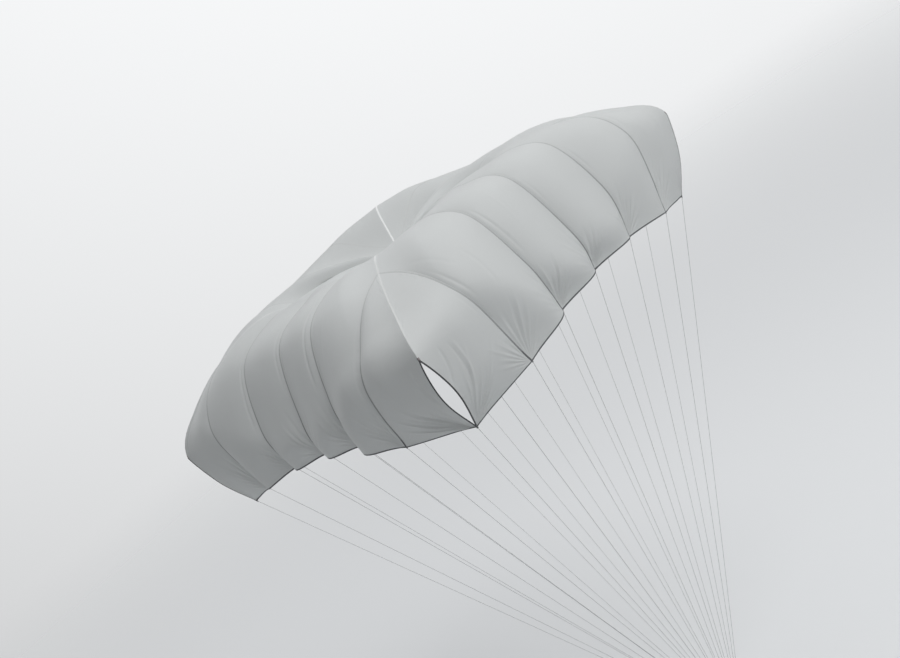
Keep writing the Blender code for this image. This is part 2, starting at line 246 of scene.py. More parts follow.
BILLOW = np.array([          # reach, how far the seams stand out, rise between the seams
    (0.00, 0.000, 0.003),
    (0.35, 0.010, 0.008),
    (0.60, 0.020, 0.024),
    (0.85, 0.032, 0.050),
    (0.95, 0.016, 0.068),
    (1.00, 0.000, 0.080),
])
EVEN = (0.0,) * (GORES - 1)  # a side whose seams all stay where an even hem has them
FEET_ALONG = np.array([      # one row a side, one column a seam: its foot, along from an even hem
    (0.035, 0.024, 0.000, 0.000, 0.000),
    EVEN,
    EVEN,
    (0.000, 0.045, 0.025, 0.000, -0.025),
])
FEET_OUT = np.array([        # and its foot, out from an even hem
    (-0.010, -0.010, 0.000, 0.000, 0.000),
    EVEN,
    EVEN,
    (0.000, -0.010, -0.020, -0.020, 0.020),
])
FULLNESS = np.array([        # one row a side, one column a gore, from left to right
    (0.6, 1.1, 1.0, 1.0, 0.6, 0.6),
    (0.9, 0.8, 0.6, 0.5, 0.4, 0.4),
    (0.4, 0.4, 0.4, 0.5, 0.6, 0.7),
    (0.8, 1.0, 1.0, 1.1, 1.4, 0.7),
])
FULLNESS_UP = np.array([     # reach, then each side's fullness there, in shares of that at its hem
    (0.00, 0.6, 0.7, 0.6, 1.0),
    (0.50, 0.6, 0.7, 0.6, 1.3),
    (0.78, 1.5, 0.8, 0.6, 1.3),
    (1.00, 1.0, 1.0, 1.0, 1.0),
])
SEAMS_IN = np.array([        # one row a side, one column a seam: how far in it is drawn
    EVEN,
    EVEN,
    EVEN,
    (0.000, 0.040, 0.045, 0.020, 0.024),
])
IN_SPREAD = np.array([       # reach, the share of that there, and for a side's last seam
    (0.00, 0.0, 0.0),
    (0.40, 0.0, 0.0),
    (0.68, 1.0, 1.0),
    (0.82, 1.0, 1.0),
    (0.92, 0.5, -1.4),
    (1.00, 0.0, 0.0),
])
BILLOW_ROUNDNESS = 0.75      # under 1 the billow is full beside the seams
HEM_LEAN = (0.9, 0.3, -0.3, -0.9)    # each side's billows are fullest right (+) or left (-)
MID_LEAN = np.array([        # the same above the hem, one row a side, one column a gore
    (-0.6,) * GORES,
    (0.0,) * GORES,
    (0.0,) * GORES,
    (0.5,) * (GORES - 1) + (-0.7,),
])
NEAR_SWELL = 1.0             # the gore left of the near corner is fuller by this, above its slot
SWELL_ON, SWELL_OFF = (0.68, 0.1), (0.9, 0.1)     # reach where each starts, and over how much
CORNER_EASE, LEAN_EASE = (0.75, 0.25), (0.85, 0.15)   # the same, for the hem's own shape
CORNER_HEM = 0.2             # share of its billow that a corner gore keeps at the hem
DIAGONAL_FADE = 0.15         # billows die out over this share beside a diagonal
OUT_BLEND, HEM_BLEND, CORNER_BLEND, HEIGHT_BLEND = 3.1, 13.0, 6.0, 0.5
CREST_BUNCH, HEM_BUNCH = -0.10, -0.015
SEAM_FLAT = 0.012            # share of a gore beside each seam that lies flat under the seam's tape


# %% From shares to metres
def smooth_step(x):
    x = np.clip(x, 0.0, 1.0)
    return x * x * (3 - 2 * x)


def ease(reach, start, over):
    """0 up to a reach, then smoothly to 1 over a further share of it."""
    return smooth_step((reach - start) / over)


def from_seams(place, row):
    """A row's value at a place in its side: straight from seam to seam, and 0 at both corners."""
    return np.interp(place * HALF, np.arange(-HALF, HALF + 1), np.pad(row, 1))


def along(rows, column, reach, mirror):
    """Smooth curve through a table's rows; mirror says how it carries on past the centre."""
    xs = np.concatenate([[-rows[1, 0]], rows[:, 0]])
    ys = np.concatenate([[mirror * rows[1, column]], rows[:, column]])
    last = len(xs) - 1
    steps = np.arange(last + 1)
    ahead, behind = np.minimum(steps + 1, last), np.maximum(steps - 1, 0)
    slopes = (ys[ahead] - ys[behind]) / (xs[ahead] - xs[behind])
    i = np.clip(np.searchsorted(xs, reach) - 1, 1, last - 1)
    h = xs[i + 1] - xs[i]
    t = (reach - xs[i]) / h
    return (ys[i] * (1 + 2 * t) * (1 - t) ** 2 + ys[i + 1] * t * t * (3 - 2 * t)
            + h * (slopes[i] * t * (1 - t) ** 2 - slopes[i + 1] * t * t * (1 - t)))


def taut_skin(side, across, reach):
    """The canopy before its gores billow: along the side, out from the axis, height."""
    share = np.clip(across / np.maximum(reach, 1e-6), -1.0, 1.0)
    lift, crest_out, hem_out, slide = SIDES[side]
    corner = np.where((share < 0)[..., None], CORNERS[side], CORNERS[(side + 1) % 4])
    crest = np.sin(np.pi * np.minimum(reach, 1.0)) ** 2
    hem = np.maximum(0.0, (reach - 0.6) / 0.4) ** 2
    bulge = corner[..., 1] * crest + corner[..., 2] * hem
    side_out = along(SIDE_SECTION, 1, reach, -1) + crest_out * crest + hem_out * hem
    side_up = along(SIDE_SECTION, 2, reach, 1) + lift * crest
    corner_out = along(CORNER_SECTION, 1, reach, -1) + bulge
    corner_up = along(CORNER_SECTION, 2, reach, 1) + corner[..., 0] * crest
    spread = along(CORNER_SECTION, 3, reach, -1) + bulge
    late = reach ** 6
    size = np.abs(share)
    turn = size ** (OUT_BLEND + (HEM_BLEND - OUT_BLEND) * late)
    turn = turn + (np.maximum(0.0, HALF * size - HALF + 1) - turn) * late * late
    fall = share ** 2 * (1 + HEIGHT_BLEND * (1 - share ** 2))
    bunch = 1 + (CREST_BUNCH + (HEM_BUNCH - CREST_BUNCH) * late) * (1 - share ** 2)
    along_hem = from_seams(share, FEET_ALONG[side]) * hem
    out_hem = from_seams(share, FEET_OUT[side]) * hem
    x = share * (spread * bunch + (corner_out - spread) * size ** CORNER_BLEND)
    x = x + along_hem + slide * crest * (1 - share ** 2)
    y = side_out + (corner_out - side_out) * turn + out_hem
    z = side_up + (corner_up - side_up) * fall
    return np.stack(np.broadcast_arrays(x, y, z), axis=-1)


def hung_skin(side, across, reach):
    """The taut skin, with its hem drawn to the height that lines of one length give it."""
    p = taut_skin(side, across, reach)
    edge = taut_skin(side, across / np.maximum(reach, 1e-6), np.ones_like(reach))
    level = np.sqrt(LINE_LENGTH ** 2 - edge[..., 0] ** 2 - edge[..., 1] ** 2)
    p[..., 2] += (level - edge[..., 2]) * smooth_step((reach - SLOT_TOP + 0.1) / (1.1 - SLOT_TOP))
    return p


def billow(side, across, reach):
    """How far the cloth stands off the taut skin at a place."""
    place_in_side = (across + 1) * GORES / 2
    gore = np.clip(np.floor(place_in_side), 0, GORES - 1).astype(int)
    part = np.clip((place_in_side - gore - SEAM_FLAT) / (1 - 2 * SEAM_FLAT), 0.0, 1.0)
    late, low = ease(reach, *CORNER_EASE), ease(reach, *LEAN_EASE)
    lean = HEM_LEAN[side] * low + MID_LEAN[side][gore] * (1 - low)
    part = np.where(lean > 0, part, 1 - part) ** (1 + np.abs(lean))
    lump = np.maximum(0.0, np.sin(np.pi * part)) ** BILLOW_ROUNDNESS
    corner = (gore == 0) | (gore == GORES - 1)
    lump *= np.where(corner, 1 - (1 - CORNER_HEM) * late, 1.0)
    full = FULLNESS[side][gore] * along(FULLNESS_UP, 1 + side, reach, 1)
    if side == NEAR_LEFT:
        swell = ease(reach, *SWELL_ON) * (1 - ease(reach, *SWELL_OFF))
        full = full + np.where(gore == GORES - 1, NEAR_SWELL * swell, 0.0)
    fade = smooth_step((reach - np.abs(across)) / DIAGONAL_FADE)
    set_in = from_seams(across, SEAMS_IN[side])
    spread = along(IN_SPREAD, 1, reach, 1)
    set_in = set_in * (spread + (along(IN_SPREAD, 2, reach, 1) - spread)
                       * np.clip(across * HALF - 1, 0, 1))
    stand_out = np.interp(reach, BILLOW[:, 0], BILLOW[:, 1]) - set_in
    return (stand_out + np.interp(reach, BILLOW[:, 0], BILLOW[:, 2]) * full * lump) * fade


def to_part(side, vectors):
    """From a side's own frame (along, out, up) to the part's, a quarter turn for each side."""
    x, y, z = vectors[..., 0], -vectors[..., 1], vectors[..., 2]
    for _ in range(side):
        x, y = -y, x
    return np.stack([x, y, z], axis=-1)


def unit(vectors):
    return vectors / np.maximum(np.linalg.norm(vectors, axis=-1, keepdims=True), 1e-12)


def canopy(side, across, reach):
    """Points of the billowed canopy and the direction square to its skin, in the part's frame."""
    across, reach = np.broadcast_arrays(np.asarray(across, float), np.asarray(reach, float))
    p, step = hung_skin(side, across, reach), 0.002
    run = hung_skin(side, across + step, reach) - hung_skin(side, across - step, reach)
    rise = (hung_skin(side, across, reach - step)
            - hung_skin(side, across, np.minimum(reach + step, 1.0)))
    outward = unit(np.cross(run, rise))
    outward *= np.where(outward[..., 1] + outward[..., 2] < 0, -1.0, 1.0)[..., None]
    p = to_part(side, p + outward * billow(side, across, reach)[..., None])
    return p + (0, 0, AIM_HEIGHT), to_part(side, outward)


hem_corner = canopy(0, -1.0, 1.0)[0]
print("near corner of the hem", hem_corner.round(3), "line", round(float(np.linalg.norm(
    hem_corner - (0, 0, AIM_HEIGHT))), 3), "m")

# %% [markdown]
# ## Suspension lines
# A line is a braided cord, 2.4 mm across, from the knot to the hem at the foot of a seam. The
# canopy's pull keeps all of them straight, so each is a thin cylinder laid from the knot to its
# seam, and the braid is in its finish: two sets of slanting strands that pass over each other,
# drawn on the cord's own length and girth. Modelled strands would cost a hundred times the faces
# and never be seen.

# %% Braided finish
LINE_GREY = (0.050, 0.053, 0.058)
BRAID_PITCH = 0.009          # metres of line for one turn of a strand


def weave_places(tree):
    """Metres across a piece and metres along it, from the UV map that each piece is given."""
    uv = node(tree, "ShaderNodeUVMap", uv_map="weave").outputs[0]
    split = node(tree, "ShaderNodeSeparateXYZ", {0: uv})
    return uv, split.outputs[0], split.outputs[1]


def noise(tree, vector, scale, detail=3.0, roughness=0.5):
    return node(tree, "ShaderNodeTexNoise", {"Vector": vector, "Scale": scale, "Detail": detail,
                                             "Roughness": roughness}).outputs[0]


def raise_surface(tree, shader, strength, distance, height):
    """Bump on a finish; returns its direction, for a second shader to share."""
    bump = node(tree, "ShaderNodeBump",
                {"Strength": strength, "Distance": distance, "Height": height}).outputs[0]
    tree.links.new(bump, shader.inputs["Normal"])
    return bump


def line_finish(name, colour, paler):
    """Braid on a straight cord, whose UV map holds its girth in turns and its length in metres."""
    finish, tree, shader = new_finish(name, colour, 0.62)
    _, girth, length = weave_places(tree)
    turns = calc(tree, "MULTIPLY", girth, 4.0)
    rise = calc(tree, "DIVIDE", length, BRAID_PITCH)
    strands = []
    for slant in ("ADD", "SUBTRACT"):
        phase = calc(tree, "FRACT", calc(tree, slant, rise, turns))
        strands.append(calc(tree, "PINGPONG", calc(tree, "MULTIPLY", phase, 2.0), 1.0))
    braid = calc(tree, "MAXIMUM", *strands)
    dust = noise(tree, node(tree, "ShaderNodeTexCoord").outputs["Object"], 9.0)
    strand = tint(tree, braid, [c * 0.55 for c in colour], colour)
    tree.links.new(tint(tree, calc(tree, "MULTIPLY", dust, 0.5), strand, paler),
                   shader.inputs["Base Color"])
    raise_surface(tree, shader, 0.8, 0.0004, braid)
    return finish


cord_finish = line_finish("grey line", LINE_GREY, (0.09, 0.095, 0.10))


def weave_map(piece):
    """The UV map that the finishes read."""
    uv = piece.data.uv_layers.active or piece.data.uv_layers.new()
    uv.name = "weave"
    return uv


def cord_tube(name, foot, end, diameter, finish):
    """A straight round cord with closed ends, with its girth and length in its UV map."""
    foot, end = Vector(foot), Vector(end)
    run = end - foot
    bpy.ops.object.select_all(action="DESELECT")
    bpy.ops.mesh.primitive_cylinder_add(vertices=8, radius=diameter / 2, depth=run.length,
                                        end_fill_type="NGON", location=(foot + end) / 2,
                                        rotation=run.to_track_quat("Z", "Y").to_euler())
    piece = bpy.context.object
    piece.name = piece.data.name = name
    bpy.ops.object.transform_apply(location=True, rotation=True, scale=True)
    mesh = piece.data
    axis = run.normalized()
    first = axis.orthogonal().normalized()
    second = axis.cross(first)
    uv = weave_map(piece)
    for face in mesh.polygons:
        turns = []
        for corner in face.loop_indices:
            arm = mesh.vertices[mesh.loops[corner].vertex_index].co - foot
            turns.append(math.atan2(arm.dot(second), arm.dot(first)) / (2 * math.pi))
        if max(turns) - min(turns) > 0.5:
            turns = [t + 1 if t < 0 else t for t in turns]
        for corner, t in zip(face.loop_indices, turns):
            arm = mesh.vertices[mesh.loops[corner].vertex_index].co - foot
            uv.data[corner].uv = (t, arm.dot(axis))
    mesh.materials.append(finish)
    bpy.ops.object.shade_smooth_by_angle(angle=math.radians(60))
    return piece


def make_line(name, node_name, end, ring, diameter):
    bearing = math.atan2(end[1], end[0])
    foot = (ring * math.cos(bearing), ring * math.sin(bearing), KNOT_TOP)
    length = float(np.linalg.norm(np.subtract(end, foot)))
    piece = cord_tube(name, foot, end, diameter, cord_finish)
    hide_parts(node_name)
    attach(piece, "root")
    return length


lengths = []
for side in range(4):
    for k in range(GORES):
        number = side * GORES + k + 1
        end = canopy(side, (k - HALF) / HALF, 1.0)[0]
        lengths.append(make_line(f"suspension_line_{number:02d}", f"line_{number:02d}", end,
                                 LINE_RING_RADIUS, LINE_DIAMETER))
crown_centre = canopy(0, 0.0, 0.0)[0]
centre_length = make_line("crown_centre_line", "centre_line", crown_centre, 0.0,
                          CENTRE_LINE_DIAMETER)
print(len(lengths), "lines of", round(min(lengths), 3), "to", round(max(lengths), 3),
      "m, centre line", round(centre_length, 3), "m")

# %% [markdown]
# ## Cloth finish
# The cloth is ripstop nylon: a thin, tight weave with a thicker thread every few millimetres each
# way, so that a tear stops at the next square. It has a soft sheen, and it lets some light
# through, which is why the side away from the light never goes black. The weave is drawn in
# metres on the cloth itself, through its UV map, so the squares keep their size and run with the
# gore. Mixing a little Translucent into the Principled shader gives the glow. Blotches of tone
# make it used. The seams darken towards the hem; that is painted shade, set in the seams' finish.

# %% Ripstop cloth
CLOTH_GREY = (0.70, 0.713, 0.710)
CLOTH_SHADE = (0.66, 0.673, 0.670)
CLOTH_GLOW = (0.70, 0.722, 0.718)
GLOW_SHARE = 0.28
SQUARE = 0.0055              # from one thick thread to the next
THREAD = 0.0007


def every(tree, distance, pitch, width):
    """1 on stripes of a width that repeat at a pitch, else 0."""
    return calc(tree, "LESS_THAN", calc(tree, "FRACT", calc(tree, "DIVIDE", distance, pitch)),
                width / pitch)


def let_light_through(tree, shader, colour, share):
    """Mix a see-through glow into a cloth's finish."""
    glow = node(tree, "ShaderNodeBsdfTranslucent", {"Color": (*colour, 1)})
    mixed = node(tree, "ShaderNodeMixShader", {0: share, 1: shader.outputs[0], 2: glow.outputs[0]})
    tree.links.new(mixed.outputs[0], tree.nodes["Material Output"].inputs["Surface"])
    return glow


def make_cloth_finish():
    finish, tree, shader = new_finish("ripstop cloth", CLOTH_GREY, 0.5)
    uv, across, up = weave_places(tree)
    grid = calc(tree, "MAXIMUM", every(tree, across, SQUARE, THREAD),
                every(tree, up, SQUARE, THREAD))
    place = node(tree, "ShaderNodeTexCoord").outputs["Object"]
    blotch = calc(tree, "MULTIPLY_ADD", noise(tree, place, 1.3), 1.6, -0.3)
    colour = tint(tree, calc(tree, "MINIMUM", blotch, 1.0), CLOTH_SHADE, CLOTH_GREY)
    grain = noise(tree, uv, 240.0, 2.0)
    colour = tint(tree, calc(tree, "MULTIPLY", grid, 0.30), colour, (0.80, 0.81, 0.805))
    colour = tint(tree, calc(tree, "MULTIPLY", grain, 0.10), colour, (0.54, 0.555, 0.55))
    tree.links.new(colour, shader.inputs["Base Color"])
    shader.inputs["Sheen Weight"].default_value = 0.30
    shader.inputs["Sheen Roughness"].default_value = 0.3
    crinkle = noise(tree, uv, 26.0, 4.0, 0.6)
    height = calc(tree, "ADD", calc(tree, "MULTIPLY", grid, 0.12), crinkle)
    bump = raise_surface(tree, shader, 0.35, 0.0012, height)
    glow = let_light_through(tree, shader, CLOTH_GLOW, GLOW_SHARE)
    tree.links.new(bump, glow.inputs["Normal"])
    return finish


cloth_finish = make_cloth_finish()

# %% [markdown]
# Tapes, bindings and webbing are woven too, but thicker and ribbed across. One helper makes all
# of them: ribs along the tape's length, rows of stitches at chosen distances from its middle, and
# a paler worn tone where the noise is high.

# %% Woven tape finishes
STITCH_PITCH, STITCH_LENGTH, STITCH_WIDTH = 0.0040, 0.0029, 0.0007
FOOT_SHADE_FADE = (1.3, 0.0)       # metres up a seam over which it darkens to its foot's colour: painted shade of the valleys between the billows
END_FADE = (0.65, 0.25)      # metres from a tape's end over which it takes the colour there
TOP_FADE, TOP_SHARE = (1.45, 2.1), 0.75    # metres up a seam where it fades into the cloth


def stitches(tree, across, up, rows):
    """1 where a stitch lies, in rows that far from the tape's middle on both sides."""
    from_middle = calc(tree, "ABSOLUTE", across)
    dash = every(tree, up, STITCH_PITCH, STITCH_LENGTH)
    found = None
    for distance in rows:
        offset = calc(tree, "ABSOLUTE", calc(tree, "SUBTRACT", from_middle, distance))
        row = calc(tree, "MULTIPLY", calc(tree, "LESS_THAN", offset, STITCH_WIDTH / 2), dash)
        found = row if found is None else calc(tree, "MAXIMUM", found, row)
    return found


def fade_between(tree, distance, start, end):
    """0 at one distance and 1 at another."""
    return node(tree, "ShaderNodeMapRange", {0: distance, 1: start, 2: end}).outputs[0]


def tape_finish(name, colour, worn, thread, rows, rib=0.0012, roughness=0.68, glow=0.0, foot=None,
                ends=None, top=None):
    """Woven tape; foot and top are colours, and ends is the tape's length and its ends' colour."""
    finish, tree, shader = new_finish(name, colour, roughness)
    uv, across, up = weave_places(tree)
    ribs = calc(tree, "PINGPONG", calc(tree, "DIVIDE", up, rib), 1.0)
    yarns = calc(tree, "PINGPONG", calc(tree, "DIVIDE", across, rib * 0.8), 1.0)
    weave = calc(tree, "MAXIMUM", ribs, calc(tree, "MULTIPLY", yarns, 0.8))
    wear = calc(tree, "MULTIPLY", noise(tree, uv, 35.0, 4.0, 0.65), 0.8)
    base = tint(tree, weave, [c * 0.72 for c in colour], colour)
    base = tint(tree, wear, base, worn)
    # a tape darkens towards the colour at its foot; on the seams this is painted shade of the
    # valley they lie in
    if foot:
        base = tint(tree, fade_between(tree, up, *FOOT_SHADE_FADE), base, foot)
    if ends:
        nearest = calc(tree, "MINIMUM", up, calc(tree, "SUBTRACT", ends[0], up))
        base = tint(tree, fade_between(tree, nearest, *END_FADE), base, ends[1])
    height = weave
    if rows:
        sewn = stitches(tree, across, up, rows)
        base = tint(tree, sewn, base, thread)
        height = calc(tree, "ADD", weave, calc(tree, "MULTIPLY", sewn, 1.6))
    if top:
        near_crown = fade_between(tree, up, *TOP_FADE)
        base = tint(tree, calc(tree, "MULTIPLY", near_crown, TOP_SHARE), base, top)
    tree.links.new(base, shader.inputs["Base Color"])
    raise_surface(tree, shader, 0.6, 0.0004, height)
    if glow:
        let_light_through(tree, shader, colour, glow)
    return finish


hem_finish = tape_finish("grey hem", (0.095, 0.10, 0.105), (0.15, 0.155, 0.16),
                         (0.10, 0.10, 0.11), ())
# the seams' foot colour is painted shade of the valleys between the billows, darkest at the hem
seam_finish = tape_finish("grey seam", (0.64, 0.652, 0.648), (0.68, 0.692, 0.688),
                          (0.44, 0.45, 0.45), (0.0026, 0.0056), glow=0.16,
                          foot=(0.17, 0.18, 0.185), top=CLOTH_GREY)

# %% [markdown]
# ## Sheets laid on the formula
# Every sewn piece of the canopy starts as a flat grid, because cloth does too. Its points are
# moved onto the formula, its UV map is given the cloth's own metres, and a Solidify modifier
# turns it into a closed sheet. A grid could be cut by hand and pulled about, but then no two
# edges would meet.

# %% Sheet helper
WELD = 0.00015               # points of a sheet that are closer than this become one


def sheet_piece(name, points, weave, thickness, finishes, thin=1.0, thick_rows=None):
    """A closed sheet through a grid of points, listed row by row upwards and left to right."""
    rows, columns = points.shape[:2]
    bpy.ops.object.select_all(action="DESELECT")
    bpy.ops.mesh.primitive_grid_add(x_subdivisions=columns - 1, y_subdivisions=rows - 1, size=2,
                                    calc_uvs=False, location=(0, 0, 0))
    piece = bpy.context.object
    piece.name = piece.data.name = name
    mesh = piece.data
    flat = np.empty(len(mesh.vertices) * 3)
    mesh.vertices.foreach_get("co", flat)
    flat = flat.reshape(-1, 3)
    column = np.rint((flat[:, 0] + 1) / 2 * (columns - 1)).astype(int)
    row = np.rint((flat[:, 1] + 1) / 2 * (rows - 1)).astype(int)
    mesh.vertices.foreach_set("co", points[row, column].ravel())
    corner_vertex = np.empty(len(mesh.loops), int)
    mesh.loops.foreach_get("vertex_index", corner_vertex)
    uv = mesh.uv_layers.new(name="weave")
    uv.data.foreach_set("uv", weave[row, column][corner_vertex].ravel())
    for finish in finishes:
        mesh.materials.append(finish)
    if thick_rows is not None:
        group = piece.vertex_groups.new(name="thick")
        group.add([int(v) for v in np.flatnonzero(row <= thick_rows)], 1.0, "REPLACE")
        face_rows = np.array([max(row[v] for v in face.vertices) for face in mesh.polygons])
        mesh.polygons.foreach_set("material_index", (face_rows <= thick_rows).astype(int))
    bpy.ops.object.mode_set(mode="EDIT")
    bpy.ops.mesh.select_all(action="SELECT")
    bpy.ops.mesh.remove_doubles(threshold=WELD)
    bpy.ops.object.mode_set(mode="OBJECT")
    bpy.ops.object.modifier_add(type="SOLIDIFY")
    shell = piece.modifiers[-1]
    shell.thickness, shell.offset = thickness, 0.0
    shell.use_even_offset = False
    if thick_rows is not None:
        shell.vertex_group = "thick"
        shell.thickness_vertex_group = thin
    bpy.ops.object.modifier_apply(modifier=shell.name)
    bpy.ops.object.shade_smooth_by_angle(angle=math.radians(70))
    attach(piece, "root")
    return piece


def distances(points, axis):
    """Metres run along a grid's rows (axis 1) or columns (axis 0), from its first line."""
    steps = np.linalg.norm(np.diff(points, axis=axis), axis=-1)
    start = np.zeros_like(np.take(steps, [0], axis=axis))
    return np.concatenate([start, np.cumsum(steps, axis=axis)], axis=axis)


def grid_area(points):
    """Area of the cloth through a grid of points."""
    a, b = points[:-1, :-1], points[1:, 1:]
    c, d = points[:-1, 1:], points[1:, :-1]
    return float(np.linalg.norm(np.cross(b - a, d - c), axis=-1).sum() / 2)


# %% [markdown]
# ## Creases
# A taut canopy is never smooth. Each line pulls at one point of the hem, and the pull spreads up
# into the two gores beside it as a fan of ridges and troughs. Seams are a little shorter than the
# cloth sewn to them, so the cloth puckers along them, and it often folds once more beside the
# seam. A few long soft creases are left from packing. Each kind is one small function of a place
# on the gore, measured in metres from a lower corner, and the tables say where the creases lie.
# They are real geometry. A simulation would need a mesh ten times as fine before it made creases
# like these.

# %% Crease shapes
FAN_RAYS = (                 # share of the angle from seam to hem, length, steepness
    (0.07, 0.55, 0.26),
    (0.14, 0.62, -0.22),
    (0.21, 0.50, 0.30),
    (0.27, 0.56, -0.26),
    (0.33, 0.60, 0.32),
    (0.39, 0.48, -0.24),
    (0.45, 0.52, 0.32),
    (0.52, 0.44, -0.24),
    (0.59, 0.46, 0.28),
    (0.67, 0.34, -0.20),
    (0.76, 0.34, 0.22),
    (0.87, 0.26, 0.14),
)
SLOT_FAN = (                 # the same for the near corner's gore beside its slot
    (0.18, 0.55, 0.34),
    (0.24, 0.46, -0.26),
    (0.30, 0.66, 0.40),
    (0.37, 0.50, -0.30),
    (0.43, 0.58, 0.42),
    (0.50, 0.50, -0.30),
    (0.56, 0.62, 0.44),
    (0.62, 0.46, -0.28),
    (0.67, 0.50, 0.38),
    (0.73, 0.40, -0.24),
    (0.79, 0.42, 0.30),
    (0.88, 0.30, 0.20),
)
HEM_FAN = (                  # and on its other side, where the folds lie close to the hem
    (0.22, 0.40, 0.16),
    (0.35, 0.52, 0.24),
    (0.44, 0.46, -0.20),
    (0.52, 0.60, 0.30),
    (0.60, 0.50, -0.24),
    (0.67, 0.62, 0.32),
    (0.74, 0.48, -0.24),
    (0.81, 0.56, 0.28),
    (0.89, 0.44, 0.20),
)
FAN_ROOT, FAN_SPREAD = 0.0030, 0.024    # width of a ridge at its foot, and what each metre adds
PULL_FOOT = 0.30             # the seam's direction at its foot is taken over this length
PUCKER_HEIGHT, PUCKER_AT, PUCKER_WIDTH = 0.0016, 0.018, 0.022    # puckers, and where they lie
FOLD_WIDTH, FOLD_EASE = 0.013, 0.25        # a second fold, and the length that it dies out over
CREASE_EASE = 0.25           # the share of a long crease that it dies out over at each end


def pull_place(points, y, at_right):
    """Metres beside and along a seam from where its line pulls, and its angle with the hem."""
    column = -1 if at_right else 0
    up_row = int(np.argmax(y[:, column] > PULL_FOOT))
    corner = points[0, column]
    seam = unit(points[up_row, column] - corner)
    hem = unit(points[0, points.shape[1] // 2] - corner)
    aside = unit(hem - seam * (hem @ seam))
    arm = points - corner
    return arm @ aside, arm @ seam, math.degrees(math.acos(hem @ seam))


def ridge(beside, along_it, lean, length):
    """A soft ridge from a line's pull that leans from the seam, as high as it is wide."""
    s, c = math.sin(math.radians(lean)), math.cos(math.radians(lean))
    out, aside = beside * s + along_it * c, beside * c - along_it * s
    width = FAN_ROOT + FAN_SPREAD * np.maximum(out, 0.0)
    body = smooth_step(out / (0.08 * length)) * (1 - smooth_step((out / length - 0.3) / 0.7))
    return width * body * np.exp(-(aside / width) ** 2)


def fan(place, rays, strength, reach, rng):
    """Ridges and troughs that spread over a gore from one of its lower corners."""
    beside, along_it, angle = place
    relief = np.zeros_like(beside)
    for share, length, steep in rays:
        lean = angle * (share + rng.uniform(-0.02, 0.02))
        shape = ridge(beside, along_it, lean, length * reach * rng.uniform(0.8, 1.15))
        relief += shape * steep * strength * rng.uniform(0.7, 1.2)
    return relief


def puckers(x, y, strength, rng):
    """Small folds square to a seam, where it gathers the cloth."""
    pitch, drift = rng.uniform(0.045, 0.065), rng.uniform(0.16, 0.3)
    wave = np.sin(2 * np.pi * y / pitch + 2.2 * np.sin(2 * np.pi * y / drift) + rng.uniform(0, 6))
    patchy = np.maximum(0.0, np.sin(2 * np.pi * y / 0.9 + rng.uniform(0, 6))) ** 0.7
    beside = np.exp(-((x - PUCKER_AT) / PUCKER_WIDTH) ** 2)
    return PUCKER_HEIGHT * strength * wave * patchy * beside


def second_fold(x, y, offset, low, high, depth):
    """A trough beside a seam, and the low ridge between them."""
    window = smooth_step((y - low) / FOLD_EASE) * smooth_step((high - y) / FOLD_EASE)
    bow = offset * (1 + 0.25 * np.sin(2 * np.pi * (y - low) / 1.3))
    return -depth * window * np.exp(-((x - bow) / FOLD_WIDTH) ** 2)


def crease(x, y, start, end, depth, width):
    """A long soft trough, or a ridge if its depth is negative, from one place to another."""
    start, end = np.array(start), np.array(end)
    run = end - start
    length = np.linalg.norm(run)
    run = run / length
    out = (x - start[0]) * run[0] + (y - start[1]) * run[1]
    aside = (x - start[0]) * run[1] - (y - start[1]) * run[0]
    eased = CREASE_EASE * length
    window = smooth_step(out / eased) * smooth_step((length - out) / eased)
    bend = 0.04 * length * np.sin(np.pi * np.clip(out / length, 0, 1))
    return -depth * window * np.exp(-((aside - bend) / width) ** 2)


# %% [markdown]
# ## Gores
# A gore is one of the 24 panels. It runs from the hem, over the crest, to the diagonal where two
# sides meet. Its points stand closer near the seams and the hem, where the creases are finest.
# The hem is the cloth's own edge, rolled twice and sewn, so it belongs to the gore: its last rows
# are three layers thick and take a darker finish.

# %% Where a gore's cloth lies
NEAR_CORNER, NEAR_SIDES, FAR_SIDES = (121, 161), (93, 121), (61, 85)     # columns and rows
HEM = 0.013
GORE_TOP = 0.9985            # share of a gore's way up where it ends, under the diagonal's tape
EDGE_CROWDING, HEM_CROWDING = 0.35, 1.5
SEWN_IN = 0.0016             # share of a gore that goes into the seam on each side


def slot_edge(reach, end):
    """Share across at which a corner gore ends: on the diagonal, or at the slot's edge."""
    down = np.clip((reach - SLOT_OPEN) / (1 - SLOT_OPEN), 0.0, 1.0)
    return reach - SLOT_WIDTH[end] * np.sin(np.pi * down)


def gore_places(gore, ups, parts):
    """Across and reach over a gore, from the hem up and from left to right."""
    left, right = gore / HALF - 1, (gore + 1) / HALF - 1
    up, part = np.meshgrid(ups, parts, indexing="ij")
    if gore in (0, GORES - 1):
        reach = np.where(up <= 0.5, 1 - (1 - SLOT_TOP) * 2 * up,
                         SLOT_TOP - (SLOT_TOP - INNER_END) * (2 * up - 1))
        outer = slot_edge(reach, -1 if gore == 0 else 1)
        start, end = (-outer, -INNER_END) if gore == 0 else (INNER_END, outer)
        return start + part * (end - start), reach
    across = left + part * (right - left)
    return across, 1 - up * (1 - np.abs(across))


def hem_up(side, gore, height):
    """The share of a gore's rows that a height in metres takes up above its hem."""
    points = canopy(side, *gore_places(gore, np.array([0.0, 0.01]), np.array([0.5])))[0]
    return height * 0.01 / float(np.linalg.norm(points[1] - points[0]))


def gore_grid(side, gore):
    """Columns and rows of a gore, the finer the closer it is seen."""
    if (side, gore) in ((NEAR_RIGHT, 0), (NEAR_LEFT, GORES - 1)):
        return NEAR_CORNER
    return NEAR_SIDES if side in (NEAR_RIGHT, NEAR_LEFT) else FAR_SIDES


def gore_rows(side, gore):
    """How far up its way each row of a gore lies; the first three are the hem's."""
    hem = hem_up(side, gore, HEM)
    rest = np.linspace(0, 1, gore_grid(side, gore)[1] - 3) ** HEM_CROWDING
    return np.concatenate([[0, hem * 0.5, hem * 0.96], hem + (GORE_TOP - hem) * rest])


